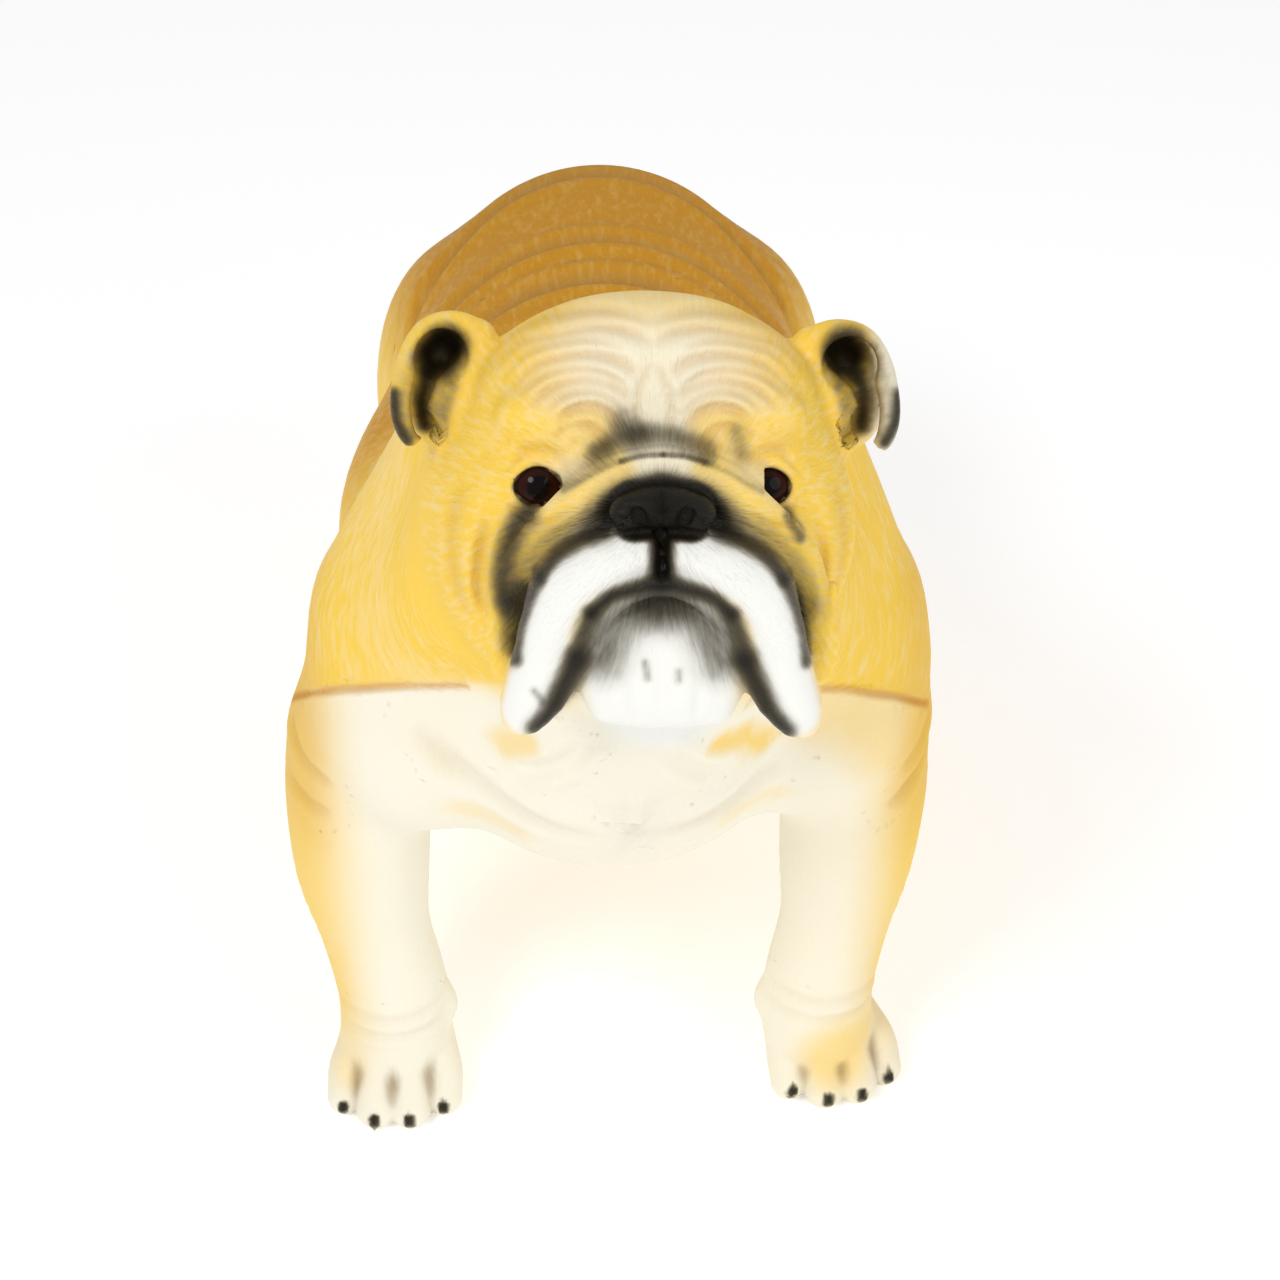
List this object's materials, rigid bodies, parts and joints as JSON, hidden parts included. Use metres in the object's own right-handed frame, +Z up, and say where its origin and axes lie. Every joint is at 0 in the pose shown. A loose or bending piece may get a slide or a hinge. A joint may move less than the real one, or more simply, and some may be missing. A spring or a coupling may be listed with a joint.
{
  "type": "bulldog garden statue",
  "caption": "Life-size standing bulldog for the garden: hollow painted casting with inset glass eyes, resting on its four paws.",
  "frame": {"origin": "on the floor, below the middle of the statue's bounding box", "axes": "+Z up; the dog faces -Y and its own left is at +X"},
  "size_m": [0.3574, 0.7196, 0.5381],
  "materials": {
    "painted_cast": "satin airbrushed paint over cast resin: golden coat, orange back, cream chest and legs, black mask",
    "eye_glass": "polished very dark brown glass eye"
  },
  "bodies": {
    "root": {"bulldog_casting": "painted_cast", "eye_left": "eye_glass", "eye_right": "eye_glass"}
  },
  "joints": []
}
